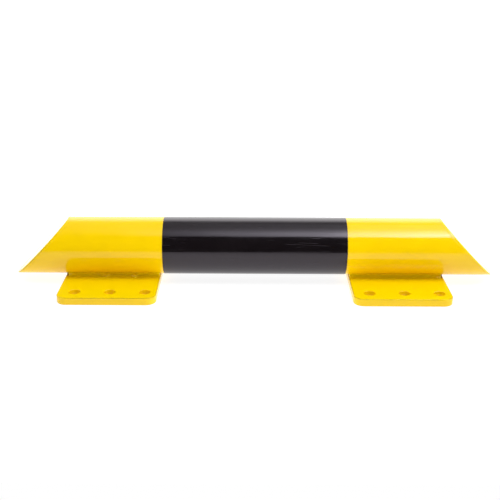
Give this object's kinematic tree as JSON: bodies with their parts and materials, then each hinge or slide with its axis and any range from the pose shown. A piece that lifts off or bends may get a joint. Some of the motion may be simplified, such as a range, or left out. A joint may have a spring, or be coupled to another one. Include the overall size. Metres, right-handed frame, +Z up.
{
  "type": "impact protection beam",
  "caption": "Low steel tube barrier with mitred closed ends and a black middle, welded on flat base plates that bolt to the floor in front of it.",
  "frame": {"origin": "on the floor, at the middle of the beam's outer box seen from above", "axes": "+X along the beam, +Y from the base plates' front edges to the tube's back, +Z up"},
  "size_m": [0.642, 0.1284, 0.0864],
  "materials": {
    "yellow_coat": "glossy plastic coating on steel",
    "black_film": "glossy self-adhesive film"
  },
  "bodies": {
    "root": {"beam_tube": "yellow_coat", "black_band": "black_film", "end_cap_left": "yellow_coat", "end_cap_right": "yellow_coat", "base_plate_left": "yellow_coat", "base_plate_right": "yellow_coat", "front_weld_left": "yellow_coat", "front_weld_right": "yellow_coat", "rear_weld_left": "yellow_coat", "rear_weld_right": "yellow_coat"}
  },
  "joints": []
}
